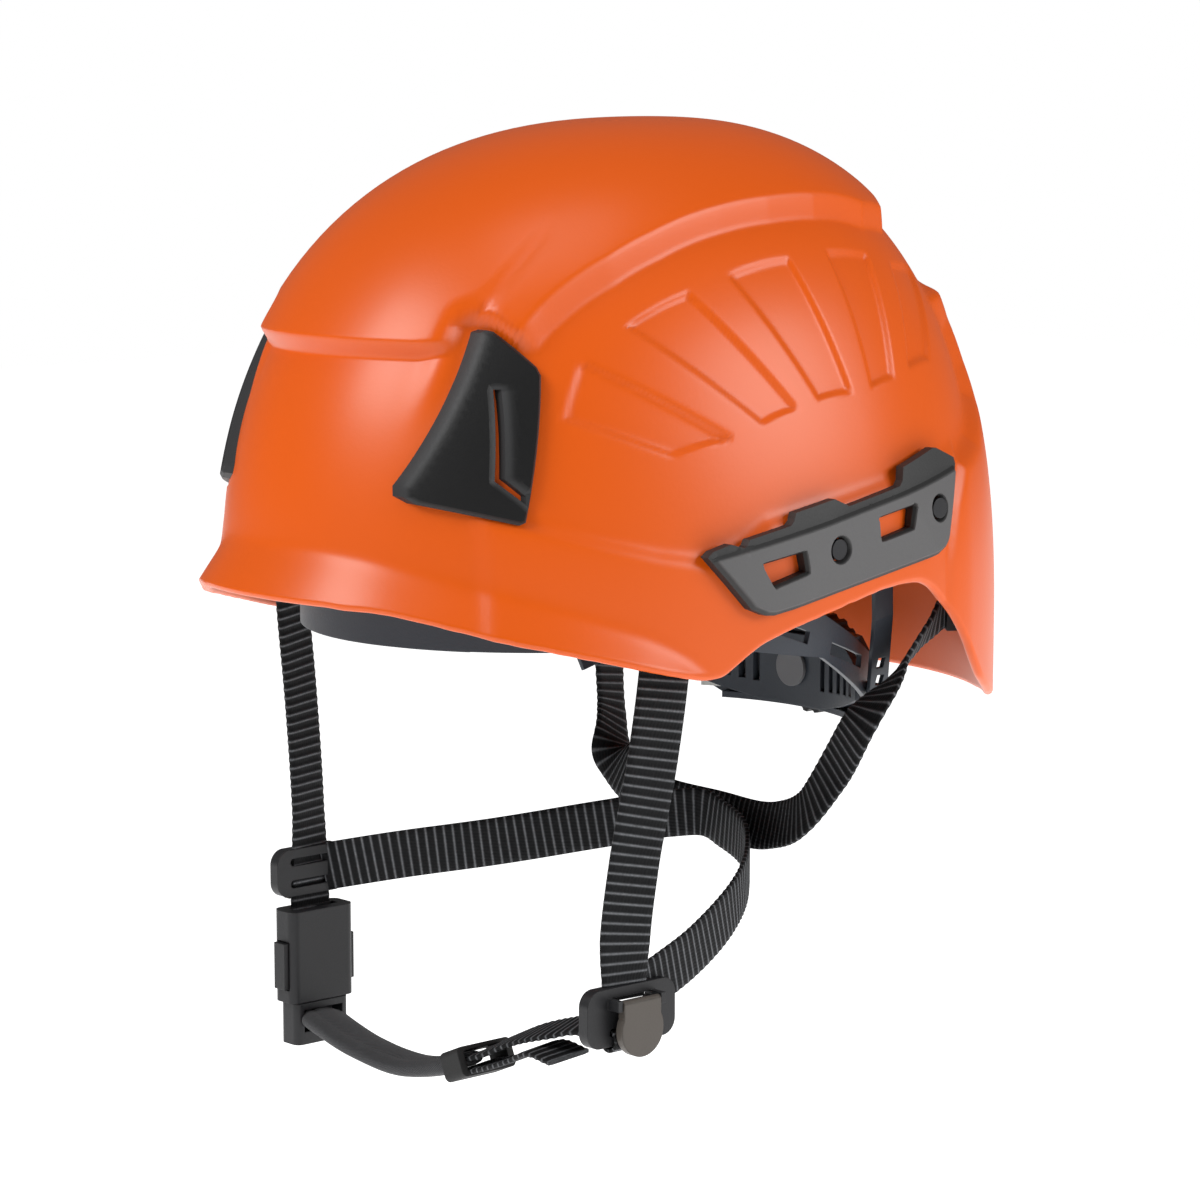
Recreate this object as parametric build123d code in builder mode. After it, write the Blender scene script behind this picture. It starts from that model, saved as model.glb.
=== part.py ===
"""Climbing helmet for tree work: hard shell, foam liner, size-adjusting headband and buckled chin straps.

Millimetres. +Z up, the wearer looks along -Y and their left side is +X. The origin is the middle of the
head seat, on the centre plane at the height of the headband's front band.
"""
from build123d import *
from math import cos, degrees, pi, radians, sin
import os

os.makedirs("parts", exist_ok=True)

# Shell form: a superellipsoid with its own half-lengths to the front and to the rear.
DOME_Y, DOME_Z = 11.0, -21.0
HALF_WIDTH, FRONT_LENGTH, REAR_LENGTH, DOME_HEIGHT = 104.0, 153.0, 112.0, 161.0
PLAN_POWER, SIDE_POWER = 2.1, 2.5
SKIRT_DEPTH = 420.0  # the same form below its widest level, so the skirt is almost upright
SKIRT_END = -64.0
WALL = 3.5

# Reliefs of the outer skin, measured outwards from the form.
CREST_RISE, TAIL_RISE, BAND_RISE, BRIM_RISE = 4.6, 5.0, 2.2, 6.5
NOSE_LEVEL = 77.0
CREST_END = 62.0

# Foam inside the shell.
LINER_GAP, LINER_THICK, LINER_EDGE = 0.7, 17.0, 24.0
PAD_THICK = 5.0

# Accessory rails: curved plates that follow the shell, with a flat seat at the middle.
RAIL_SEAT, RAIL_FACE = 0.4 + BAND_RISE, 4.6 + BAND_RISE
RAIL_FLAT_X = 108.2
RAIL_TILT = 10.0
RAIL_SCREWS = [(-7.0, 16.5, 107.4), (38.5, 25.5, 106.4)]  # y, z and the half-width to the head's top
SCREW_R, SCREW_HEAD_R = 1.6, 3.2

# Headband and nape cradle: nested elliptical rings round the head.
RING_Y = -10.0
RING_HALF_WIDTH, RING_FRONT, RING_REAR = 79.0, 98.0, 90.0
CRADLE_T, BAND_IN, BAND_T = 2.4, 3.0, 2.0
COVER_IN, COVER_T = 6.2, 2.0
NAPE_Z = -42.0
PINION_TEETH, PINION_MODULE = 12, 1.0
PINION_R = PINION_TEETH * PINION_MODULE / 2
RACK_R = 80.0
WHEEL_R, WHEEL_DEPTH = 17.0, 9.0

# Webbing and chin hardware.
WEB_WIDTH, WEB_T = 16.0, 1.5
DIVIDER_LEFT, DIVIDER_RIGHT = (80.5, -70.0, -122.5), (-79.5, -68.0, -104.0)
DIVIDER_T = 4.0
LEVER_GAP, LEVER_T, KNUCKLE_R = 2.3, 2.8, 1.3
LOOP_Z = -130.1  # middle of the lower left divider's bottom bar, which the chin webbing loops round
SOCKET_CENTRE = (-77.0, -68.0, -131.5)
SOCKET_SIZE = (11.0, 26.0, 31.0)
BUTTON_Z = -134.5


def form_scale(level):
    """Share of the form's full plan size that its section has at a level above or below its widest one."""
    rise = level - DOME_Z
    height = DOME_HEIGHT if rise > 0 else SKIRT_DEPTH
    return (1 - (abs(rise) / height) ** SIDE_POWER) ** (1 / SIDE_POWER)


def plan_point(angle, outward, scale):
    """Point of the form's horizontal section, angle in degrees from the rear half's +X end."""
    c, s = cos(radians(angle)), sin(radians(angle))
    length = (REAR_LENGTH if s > 0 else FRONT_LENGTH) + outward
    x = (HALF_WIDTH + outward) * abs(c) ** (2 / PLAN_POWER) * (1 if c > 0 else -1)
    y = length * abs(s) ** (2 / PLAN_POWER) * (1 if s > 0 else -1)
    return (scale * x, DOME_Y + scale * y)


def dome(outward, low=SKIRT_END):
    """Solid bounded by the form moved outward, from a low level up to its crown."""
    middle = (low + DOME_Z) / 2
    sections = [(low, form_scale(low)), (middle, form_scale(middle))]
    for turn in (0, 11, 22, 33, 44, 55, 65, 74, 81, 86):
        t = radians(turn)
        level = DOME_Z + (DOME_HEIGHT + outward) * sin(t) ** (2 / SIDE_POWER)
        sections.append((level, cos(t) ** (2 / SIDE_POWER)))
    with BuildPart() as solid:
        for level, scale in sections:
            with BuildSketch(Plane.XY.offset(level)):
                with BuildLine():
                    Spline(*[plan_point(a, outward, scale) for a in range(0, 360, 12)], periodic=True)
                make_face()
        loft()
    return solid.part


def side_prism(outline, x_from, x_to):
    """Straight prism along X whose outline is given as (y, z) corners."""
    with BuildPart() as prism:
        with BuildSketch(Plane.YZ.offset(x_from)):
            with BuildLine():
                Polyline(*outline, close=True)
            make_face()
        extrude(amount=x_to - x_from)
    return prism.part


def plan_prism(outline, z_from, z_to):
    """Straight prism along Z whose outline is given as (x, y) corners."""
    with BuildPart() as prism:
        with BuildSketch(Plane.XY.offset(z_from)):
            with BuildLine():
                Polyline(*outline, close=True)
            make_face()
        extrude(amount=z_to - z_from)
    return prism.part


def ring_point(angle, outward):
    """Point of the head ring, angle in degrees from +X, moved outward."""
    c, s = cos(radians(angle)), sin(radians(angle))
    length = RING_REAR if s > 0 else RING_FRONT
    return ((RING_HALF_WIDTH + outward) * c, RING_Y + (length + outward) * s)


def ring_strip(first, last, inner, outer, low, high, step=6):
    """Upright strip of the head ring between two angles."""
    count = max(2, round(abs(last - first) / step))
    angles = [first + (last - first) * i / count for i in range(count + 1)]
    with BuildPart() as strip:
        with BuildSketch(Plane.XY.offset(low)):
            with BuildLine():
                far = Spline(*[ring_point(a, outer) for a in angles])
                near = Spline(*[ring_point(a, inner) for a in angles])
                Line(far @ 0, near @ 0)
                Line(far @ 1, near @ 1)
            make_face()
        extrude(amount=high - low)
    return strip.part


def ribbon(stations, width=WEB_WIDTH, thick=WEB_T):
    """Flat webbing: a rectangle carried from station to station; each is a point and its width direction."""
    places = [Vector(*point) for point, _ in stations]
    with BuildPart() as strip:
        for i, (_, across) in enumerate(stations):
            ahead = (places[min(i + 1, len(places) - 1)] - places[max(i - 1, 0)]).normalized()
            wide = Vector(*across)
            wide = (wide - ahead * wide.dot(ahead)).normalized()
            with BuildSketch(Plane(origin=places[i], x_dir=wide, z_dir=ahead)):
                Rectangle(width, thick)
        loft(ruled=True)
    return strip.part


def write(part, name):
    part.label = name
    export_step(part, f"parts/{name}.step")


# ---------------------------------------------------------------- outer shell
# Edge of the shell seen from the side: brim, ear corner, arch over the rear straps, tail over the nape.
RIM = [(-175, 9), (-131, 4), (-111, -3), (-86, -10), (-60, -17), (-48, -18), (-38, -11), (-22, -5),
       (0, 1), (21, 4), (36, 4), (48, -5), (64, -25), (76, -35), (92, -42), (150, -44)]
BRIM_CREASE = [(-175, 19), (-137, 18), (-110, 9), (-91, 2), (-72, -5), (-60, -13)]
PANEL_CREASE = [(-103, 29), (-79, 23), (-52, 17), (-30, 26), (60, 42), (60, -60), (-103, -60)]
TAIL = [(200, 92), (80, 92), (89, 74), (90, 56), (72, 42), (57, 38), (46, 14), (42, -60), (200, -60)]
CREST_PLAN = [(28, -150), (31, -122), (42, -110), (52, -96), (60, -80), (64, -60), (66, -40), (66, 20),
              (63, 45), (56, CREST_END)]


def crest_outline(inset):
    """Closed plan outline of the crest, drawn in by an inset."""
    right = [(x - inset, y if y < 0 else y - inset) for x, y in CREST_PLAN]
    return right + [(-x, y) for x, y in reversed(right)]


with BuildPart() as raised_crest:
    add(dome(CREST_RISE))
    add(plan_prism(crest_outline(0), NOSE_LEVEL, 200), mode=Mode.INTERSECT)

with BuildPart() as crest_hollow:
    add(dome(CREST_RISE - WALL))
    add(plan_prism(crest_outline(WALL), NOSE_LEVEL + WALL, 200), mode=Mode.INTERSECT)

with BuildPart() as raised_tail:
    add(dome(TAIL_RISE))
    add(side_prism(TAIL, -130, 130), mode=Mode.INTERSECT)

with BuildPart() as lower_band:
    add(dome(BAND_RISE))
    add(side_prism(PANEL_CREASE, -130, 130), mode=Mode.INTERSECT)

with BuildPart() as brim:
    add(dome(BRIM_RISE))
    add(side_prism(BRIM_CREASE + [(-60, -60), (-175, -60)], -130, 130), mode=Mode.INTERSECT)

VENT_HOLE = [(-100, 70), (-112, 44), (-100, 42), (-93, 66)]
with BuildPart() as outer_shell:
    add(dome(0))
    add(raised_crest.part)
    add(raised_tail.part)
    add(lower_band.part)
    add(brim.part)
    add(dome(-WALL, low=SKIRT_END - 1), mode=Mode.SUBTRACT)
    add(crest_hollow.part, mode=Mode.SUBTRACT)
    add(side_prism(RIM + [(150, -90), (-175, -90)], -130, 130), mode=Mode.SUBTRACT)
    for side in (-1, 1):
        add(side_prism(VENT_HOLE, 40 if side > 0 else -90, 90 if side > 0 else -40), mode=Mode.SUBTRACT)
    for side in (-1, 1):
        for y, z, _ in RAIL_SCREWS:
            with Locations(Location((side * 104, y, z), (0, 90, 0))):
                Cylinder(SCREW_R, 30, mode=Mode.SUBTRACT)
write(outer_shell.part, "outer_shell")

# ---------------------------------------------------------------- foam liner and crown pad
with BuildPart() as impact_liner:
    add(dome(-WALL - LINER_GAP))
    add(dome(-WALL - LINER_GAP - LINER_THICK), mode=Mode.SUBTRACT)
    with Locations((0, 0, LINER_EDGE - 100)):
        Box(400, 400, 200, mode=Mode.SUBTRACT)
write(impact_liner.part, "impact_liner")

with BuildPart() as crown_pad:
    with BuildSketch(Plane.XY.offset(60)):
        with Locations((0, DOME_Y)):
            Ellipse(46, 62)
            Ellipse(22, 36, mode=Mode.SUBTRACT)
    extrude(amount=100)
    add(dome(-WALL - LINER_GAP - LINER_THICK - 0.3), mode=Mode.INTERSECT)
    add(dome(-WALL - LINER_GAP - LINER_THICK - 0.3 - PAD_THICK), mode=Mode.SUBTRACT)
write(crown_pad.part, "crown_pad")

# ---------------------------------------------------------------- vent covers
VENT_COVER = [(-100, 85), (-127, 38), (-127, 35), (-103, 28), (-91, 73)]
VENT_SLIT = [(-103.2, 69), (-101.4, 69), (-105.8, 42), (-100.5, 36), (-98, 36), (-98, 33), (-101.5, 33.5),
             (-108.3, 41.5)]
for side, name in ((1, "vent_cover_left"), (-1, "vent_cover_right")):
    near, far = (20, 130) if side > 0 else (-130, -20)
    with BuildPart() as vent_cover:
        add(side_prism(VENT_COVER, near, far))
        add(dome(3.6), mode=Mode.INTERSECT)
        add(dome(0.6), mode=Mode.SUBTRACT)
        add(side_prism(VENT_SLIT, near, far), mode=Mode.SUBTRACT)
        add(plan_prism(crest_outline(-0.6), NOSE_LEVEL - 0.6, 200), mode=Mode.SUBTRACT)
    with BuildPart() as plug:
        add(side_prism([(-100.5, 66), (-109.5, 45.5), (-101, 44), (-95, 64)], near, far))
        add(dome(0.9), mode=Mode.INTERSECT)
        add(dome(-WALL + 0.2), mode=Mode.SUBTRACT)
    with BuildPart() as vent_piece:
        add(vent_cover.part)
        add(plug.part)
    write(vent_piece.part, name)

# ---------------------------------------------------------------- accessory rails and their screws
RAIL_OUTLINE = [(-55, 17.5), (-47, 21), (-42, 19), (-40.5, 22), (-25, 25), (-23.5, 29), (-8, 32), (-4, 30),
                (-2, 29), (21, 34), (22.5, 39.5), (40, 44), (52, 39), (44, 14), (38, 11), (-34, -1.5),
                (-41, 1)]
SLOT_CENTRES = [(-29.0, 12.0), (18.0, 22.5)]
SLOT_SIZE = (16.0, 7.2)
for side, name in ((1, "accessory_rail_left"), (-1, "accessory_rail_right")):
    near, far = (60, 130) if side > 0 else (-130, -60)
    with BuildPart() as rail:
        add(side_prism(RAIL_OUTLINE, near, far))
        add(dome(RAIL_FACE), mode=Mode.INTERSECT)
        add(dome(RAIL_SEAT), mode=Mode.SUBTRACT)
        with Locations((side * (RAIL_FLAT_X + 10), 0, 20)):
            Box(20, 200, 100, mode=Mode.SUBTRACT)
        for y, z in SLOT_CENTRES:
            with Locations(Location((side * 104, y, z), (RAIL_TILT, 0, 0))):
                Box(40, *SLOT_SIZE, mode=Mode.SUBTRACT)
        for y, z, top in RAIL_SCREWS:
            with Locations(Location((side * 104, y, z), (0, 90, 0))):
                Cylinder(SCREW_R + 0.3, 30, mode=Mode.SUBTRACT)
            with Locations(Location((side * (top + 8.8), y, z), (0, 90, 0))):
                Cylinder(SCREW_HEAD_R + 0.4, 20, mode=Mode.SUBTRACT)
    write(rail.part, name)

with BuildPart() as rail_screws:
    for side in (-1, 1):
        for y, z, top in RAIL_SCREWS:
            with Locations(Location((side * (top - 4.4), y, z), (0, 90, 0))):
                Cylinder(SCREW_R, 8)
            with Locations(Location((side * (top - 0.6), y, z), (0, 90, 0))):
                Cylinder(SCREW_HEAD_R, 1.2)
write(rail_screws.part, "rail_screws")

# ---------------------------------------------------------------- headband, brow pad and pivot clips
PIVOT_Y = -86.0
PIN_R = 2.0
BAND_SIDE = [(-130, 14), (-62, 14), (-42, 4), (12, -8), (45, -24), (62, -31), (80, -33), (80, -47),
             (62, -46), (45, -40), (12, -22), (-40, -13), (-62, -13), (-130, -13)]
ARM_SLOTS = [(-8, -10.5, 26.0), (28, -23.5, 24.0)]  # middle y and z, and length, of the slots in the arms
ARM_SLOPE = 19.0
with BuildPart() as headband:
    add(ring_strip(-234, 54, BAND_IN, BAND_IN + BAND_T, -60, 20))
    add(side_prism(BAND_SIDE, -100, 100), mode=Mode.INTERSECT)
    for y, z, length in ARM_SLOTS:
        with Locations(Location((0, y, z), (-ARM_SLOPE, 0, 0))):
            Box(200, length, 4, mode=Mode.SUBTRACT)
    with Locations(Location((0, PIVOT_Y, 0), (0, 90, 0))):
        Cylinder(PIN_R + 0.3, 200, mode=Mode.SUBTRACT)
write(headband.part, "headband")

BROW_PAD_T = 4.0
brow_pad = ring_strip(236, 304, BAND_IN - 0.2 - BROW_PAD_T, BAND_IN - 0.2, -14, 15)
write(brow_pad, "brow_pad")

for side, name in ((1, "pivot_clip_left"), (-1, "pivot_clip_right")):
    with BuildPart() as pivot_clip:
        with Locations((side * 72.6, PIVOT_Y, 0)):
            Box(17, 9, 9)
        with Locations(Location((side * 57, PIVOT_Y, 0), (0, 90, 0))):
            Cylinder(PIN_R, 16)
        with Locations(Location((side * 48.6, PIVOT_Y, 0), (0, 90, 0))):
            Cylinder(PIN_R + 1.4, 1.2)
        add(dome(-WALL - 0.4), mode=Mode.INTERSECT)
    write(pivot_clip.part, name)

# ---------------------------------------------------------------- nape cradle, cover and hub cap
CRADLE_FRONT = [(-46.5, -36), (-46.5, -46), (-28, -52), (-14, -55), (14, -55), (28, -52), (46.5, -46),
                (46.5, -36), (30, -30.5), (-30, -30.5)]


def front_prism(outline, y_from, y_to):
    """Straight prism along Y whose outline is given as (x, z) corners."""
    with BuildPart() as prism:
        with BuildSketch(Plane.XZ.offset(-y_from)):
            with BuildLine():
                Polyline(*outline, close=True)
            make_face()
        extrude(amount=y_from - y_to)
    return prism.part


with BuildPart() as nape_cradle:
    add(ring_strip(40, 140, 0, CRADLE_T, -60, -25))
    add(front_prism(CRADLE_FRONT, 40, 100), mode=Mode.INTERSECT)
    for side in (-1, 1):
        for i in range(5):
            with Locations((side * (16 + 5.5 * i), 75, NAPE_Z)):
                Box(2.6, 40, 13 - i, mode=Mode.SUBTRACT)
    with Locations(Location((0, 80, NAPE_Z), (90, 0, 0))):
        Cylinder(3.0, 20, mode=Mode.SUBTRACT)
write(nape_cradle.part, "nape_cradle")

with BuildPart() as hub_cap:
    with Locations(Location((0, 79.0, NAPE_Z), (90, 0, 0))):
        Cylinder(6.6, 1.2)
    with Locations(Location((0, 80.5, NAPE_Z), (90, 0, 0))):
        Cylinder(2.9, 2.4)
write(hub_cap.part, "hub_cap")

HOUSING_FRONT = [(-41, -34), (-41, -50), (-31, -56), (31, -56), (41, -50), (41, -34), (31, -28), (-31, -28)]
with BuildPart() as wheel_housing:
    add(ring_strip(62, 118, COVER_IN, COVER_IN + COVER_T, -56, -28, step=4))
    add(front_prism(HOUSING_FRONT, 40, 110), mode=Mode.INTERSECT)
    for low, high in ((-30.2, -28.0), (-56.0, -53.8)):
        add(ring_strip(68, 112, CRADLE_T + 0.1, COVER_IN + 0.5, low, high, step=4))
    with Locations(Location((0, 88, NAPE_Z), (90, 0, 0))):
        Cylinder(2.6, 20, mode=Mode.SUBTRACT)
write(wheel_housing.part, "wheel_housing")

# ---------------------------------------------------------------- pinion, racks, click spring and size wheel
RACK_CENTRE_Y = RING_Y + RING_REAR + BAND_IN + BAND_T / 2 - RACK_R
RACK_PITCH = degrees(PINION_MODULE * pi / RACK_R)
RACK_BAR_IN, RACK_BAR_OUT = PINION_R + 1.3, PINION_R + 4.4
with BuildPart() as pinion:
    with BuildSketch(Plane.XZ.offset(-83.1)):
        with Locations((0, NAPE_Z)):
            Circle(PINION_R - 1.2 * PINION_MODULE)
    extrude(amount=-1.8)
    for i in range(PINION_TEETH):
        turn = radians(90 + 360 * i / PINION_TEETH)
        tip = Plane(origin=(0, 83.1, NAPE_Z), x_dir=(cos(turn), 0, sin(turn)), z_dir=(0, 1, 0))
        with BuildSketch(tip):
            with BuildLine():
                Polyline((4.2, -0.95), (6.0, -0.62), (6.8, -0.32), (6.8, 0.32), (6.0, 0.62), (4.2, 0.95),
                         close=True)
            make_face()
        extrude(amount=1.8)
    with Locations(Location((0, 89.4, NAPE_Z), (90, 0, 0))):
        Cylinder(2.2, 13)
    with Locations(Location((0, 94.0, NAPE_Z), (90, 0, 0))):
        Cylinder(1.3, 6, mode=Mode.SUBTRACT)
write(pinion.part, "pinion")

for side, name in ((1, "rack_left"), (-1, "rack_right")):
    with BuildPart() as rack:
        bar_low = NAPE_Z + RACK_BAR_IN if side > 0 else NAPE_Z - RACK_BAR_OUT
        with BuildSketch(Plane.XY.offset(bar_low)):
            with BuildLine():
                arcs = []
                for r in (RACK_R - 1, RACK_R + 1):
                    ends = [(side * r * sin(radians(a)), RACK_CENTRE_Y + r * cos(radians(a)))
                            for a in (-15, 7, 29)]
                    arcs.append(ThreePointArc(*ends))
                Line(arcs[0] @ 0, arcs[1] @ 0)
                Line(arcs[0] @ 1, arcs[1] @ 1)
            make_face()
        extrude(amount=RACK_BAR_OUT - RACK_BAR_IN)
        for i in range(-6, 12):
            turn = radians(RACK_PITCH * (i + 0.5)) * side
            out = (sin(turn), cos(turn), 0)
            start = (RACK_R - 1) * Vector(*out) + Vector(0, RACK_CENTRE_Y, NAPE_Z)
            with BuildSketch(Plane(origin=start, x_dir=(cos(turn), -sin(turn), 0), z_dir=out)):
                with BuildLine():
                    up = -side  # sketch Y points down when the plane faces outwards
                    Polyline((-0.95, up * 7.5), (-0.6, up * 6.0), (-0.32, up * 5.25), (0.32, up * 5.25),
                             (0.6, up * 6.0), (0.95, up * 7.5), close=True)
                make_face()
            extrude(amount=2)
    write(rack.part, name)

with BuildPart() as click_spring:
    with Locations((12.4, 82.9, NAPE_Z)):
        Box(9.6, 1.0, 0.8)
    with Locations((17.4, 82.0, NAPE_Z)):
        Box(2.2, 2.4, 4.4)
write(click_spring.part, "click_spring")

with BuildPart() as size_wheel:
    with BuildSketch(Plane.XZ.offset(-88.6)):
        with Locations((0, NAPE_Z)):
            Circle(WHEEL_R)
            Circle(2.2, mode=Mode.SUBTRACT)
            with PolarLocations(WHEEL_R + 0.9, 20):
                Circle(2.0, mode=Mode.SUBTRACT)
    extrude(amount=-WHEEL_DEPTH)
    with Locations(Location((0, 96.6, NAPE_Z), (90, 0, 0))):
        Cylinder(4.4, 2.2, mode=Mode.SUBTRACT)
write(size_wheel.part, "size_wheel")

with BuildPart() as wheel_screw:
    with Locations(Location((0, 96.8, NAPE_Z), (90, 0, 0))):
        Cylinder(4.0, 1.6)
    with Locations(Location((0, 94.2, NAPE_Z), (90, 0, 0))):
        Cylinder(1.3, 4.4)
write(wheel_screw.part, "wheel_screw")

# ---------------------------------------------------------------- nape hangers and their guides
HANGER_TOP, HANGER_BEND, HANGER_FOOT = (80.0, 40.0, 13.0), (80.0, 40.5, -12.0), (68.8, 49.0, -47.0)
for side, name in ((1, "nape_hanger_left"), (-1, "nape_hanger_right")):
    points = [(side * x, y, z) for x, y, z in (HANGER_TOP, HANGER_BEND, HANGER_FOOT)]
    with BuildPart() as hanger:
        add(ribbon([(p, (0, 1, 0)) for p in points], width=8.0, thick=1.6))
        for share in (0.45, 0.62, 0.79):
            y = HANGER_BEND[1] + share * (HANGER_FOOT[1] - HANGER_BEND[1])
            z = HANGER_BEND[2] + share * (HANGER_FOOT[2] - HANGER_BEND[2])
            with Locations((side * 76, y, z)):
                Box(30, 3.2, 3.4, mode=Mode.SUBTRACT)
        with Locations(Location((side * 68.2, 47.4, -37.0), (0, 90, 0))):
            Cylinder(1.8, 5.2)
    write(hanger.part, name)

for side, name in ((1, "hanger_guide_left"), (-1, "hanger_guide_right")):
    with BuildPart() as guide:
        with Locations((side * 87.4, 40, 11)):
            Box(20, 15, 11)
        with Locations((side * 80.0, 40, 11)):
            Box(3.4, 11, 30, mode=Mode.SUBTRACT)
        add(dome(-WALL - 0.4), mode=Mode.INTERSECT)
    write(guide.part, name)

# ---------------------------------------------------------------- strap anchors and webbing
FRONT_ANCHORS = {"front_anchor_left": (86.6, -57.0), "front_anchor_right": (-84.4, -71.0)}
for name, (x, y) in FRONT_ANCHORS.items():
    with BuildPart() as anchor:
        with Locations((x + (2.6 if x > 0 else -2.6), y, 2)):
            Box(6.0, 20, 14)
        add(dome(-WALL - 0.4), mode=Mode.INTERSECT)
    write(anchor.part, name)

REAR_KEEPER = (80.0, 72.0, -8.0)
for side, name in ((1, "rear_keeper_left"), (-1, "rear_keeper_right")):
    with BuildPart() as keeper:
        with Locations(Location((side * (REAR_KEEPER[0] + 1.5), REAR_KEEPER[1] + 1, REAR_KEEPER[2]),
                                (0, 0, -side * 38))):
            Box(9, 7, 22)
        add(dome(-WALL - 0.4), mode=Mode.INTERSECT)
    write(keeper.part, name)

LEFT_FRONT = [(85, -57, 6), (84, -58, -16), (83, -62, -45), (81, -68, -78), (80.5, -71.5, -118)]
RIGHT_FRONT = [(-81.6, -73, 6), (-81.6, -72, -12), (-81.5, -69, -45), (-80, -67.5, -85), (-79.5, -67.5, -119.5)]
write(ribbon([(p, (0.4, 0.9, 0)) for p in LEFT_FRONT[:-1]] + [(LEFT_FRONT[-1], (0, 1, 0))]),
      "front_strap_left")
write(ribbon([(p, (-0.24, 0.97, 0)) for p in RIGHT_FRONT[:-1]] + [(RIGHT_FRONT[-1], (0, 1, 0))]),
      "front_strap_right")

NAPE_STRAP = [((81, 71, -9), (0.1, 0, 1)), ((84.5, 56, -18), (0.6, -0.4, 0.6)),
              ((85, 44, -28), (0.6, -0.7, 0.1)), ((86, 26, -42), (0.95, -0.2, -0.2)),
              ((75, 24.5, -60), (0.9, -0.2, -0.35)), ((62, 23.5, -76), (0.6, -0.4, -0.6)),
              ((42, 29.5, -84), (0.2, -0.4, -0.9)), ((8, 37, -86.5), (0, -0.2, -1)),
              ((-32, 40, -84.5), (0.2, -0.2, -1)), ((-57, 50, -77), (0.6, -0.5, -0.6)),
              ((-69, 59, -64), (0.3, -0.9, -0.1)), ((-73, 61.5, -48), (0.24, -0.97, 0)),
              ((-75.5, 65, -22), (0.24, -0.97, 0)), ((-79.5, 68, -4), (0.4, -0.9, 0))]
write(ribbon(NAPE_STRAP), "nape_strap")

SIDE_STRAP = [(-79.2, -62, -104), (-61, -47, -99.5), (-39, -19, -95), (-15, 8, -89), (-2, 25, -86),
              (6, 32.4, -85.5), (16, 31, -87.5), (32, 25, -90), (50, 10, -95), (66, -12, -101), (75, -38, -110),
              (79.5, -60, -116)]
write(ribbon([(p, (0, 0, 1)) for p in SIDE_STRAP]), "side_strap")

# ---------------------------------------------------------------- dividers and their locking levers
DIVIDERS = ((DIVIDER_LEFT, "left", (36.0, 18.0), 8.5), (DIVIDER_RIGHT, "right", (29.0, 16.0), 6.0))
for centre, side, size, lever_r in DIVIDERS:
    out = 1 if centre[0] > 0 else -1
    face = centre[0] + out * DIVIDER_T / 2
    lever_face = face + out * LEVER_GAP
    hinge_x, hinge_z = lever_face + out * 1.4, centre[2] - 4.2 + lever_r
    hinge_half = lever_r - 1
    with BuildPart() as divider:
        with BuildSketch(Plane(origin=centre, x_dir=(0, 1, 0), z_dir=(1, 0, 0))):
            RectangleRounded(*size, 5)
            with Locations((0, size[1] / 2 - 4.4), (0, -size[1] / 2 + 4.2)):
                RectangleRounded(WEB_WIDTH + 2, 2.6, 1.2, mode=Mode.SUBTRACT)
        extrude(amount=DIVIDER_T / 2, both=True)
        for end in (-1, 1):
            with Locations(((face + hinge_x + out) / 2, centre[1] + end * (hinge_half + 1.3), hinge_z)):
                Box(abs(hinge_x + out - face), 1.8, 3.4)
    write(divider.part, f"divider_{side}")
    with BuildPart() as lever:
        with BuildSketch(Plane(origin=(lever_face, centre[1], centre[2] - 4), x_dir=(0, 1, 0),
                               z_dir=(out, 0, 0))):
            Circle(lever_r)
            with Locations((0, lever_r * 0.55)):
                Rectangle(hinge_half * 2, lever_r * 0.96)
        extrude(amount=LEVER_T)
        with Locations(Location((hinge_x, centre[1], hinge_z), (90, 0, 0))):
            Cylinder(KNUCKLE_R, hinge_half * 2)
    write(lever.part, f"divider_lever_{side}")

# ---------------------------------------------------------------- buckle
with BuildPart() as buckle_socket:
    with BuildSketch(Plane.XY.offset(SOCKET_CENTRE[2] - SOCKET_SIZE[2] / 2)):
        with Locations(SOCKET_CENTRE[:2]):
            RectangleRounded(SOCKET_SIZE[0], SOCKET_SIZE[1], 3)
    extrude(amount=SOCKET_SIZE[2])
    with Locations((SOCKET_CENTRE[0], SOCKET_CENTRE[1], SOCKET_CENTRE[2] - 4.5)):
        Box(SOCKET_SIZE[0] - 3, SOCKET_SIZE[1] - 4, 24, mode=Mode.SUBTRACT)
    with Locations((SOCKET_CENTRE[0], SOCKET_CENTRE[1], BUTTON_Z)):
        Box(6.4, 60, 16.4, mode=Mode.SUBTRACT)
    with Locations((SOCKET_CENTRE[0], SOCKET_CENTRE[1], SOCKET_CENTRE[2] + SOCKET_SIZE[2] / 2)):
        Box(3.4, WEB_WIDTH + 2, 8, mode=Mode.SUBTRACT)
write(buckle_socket.part, "buckle_socket")

for side, name in ((-1, "release_button_front"), (1, "release_button_rear")):
    with BuildPart() as button:
        with Locations((SOCKET_CENTRE[0], SOCKET_CENTRE[1] + side * 12.4, BUTTON_Z)):
            Box(5.6, 4.4, 15.6)
        with Locations((SOCKET_CENTRE[0], SOCKET_CENTRE[1] + side * 10.2, BUTTON_Z)):
            Box(7.2, 1.0, 17.6)
    write(button.part, name)

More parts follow.
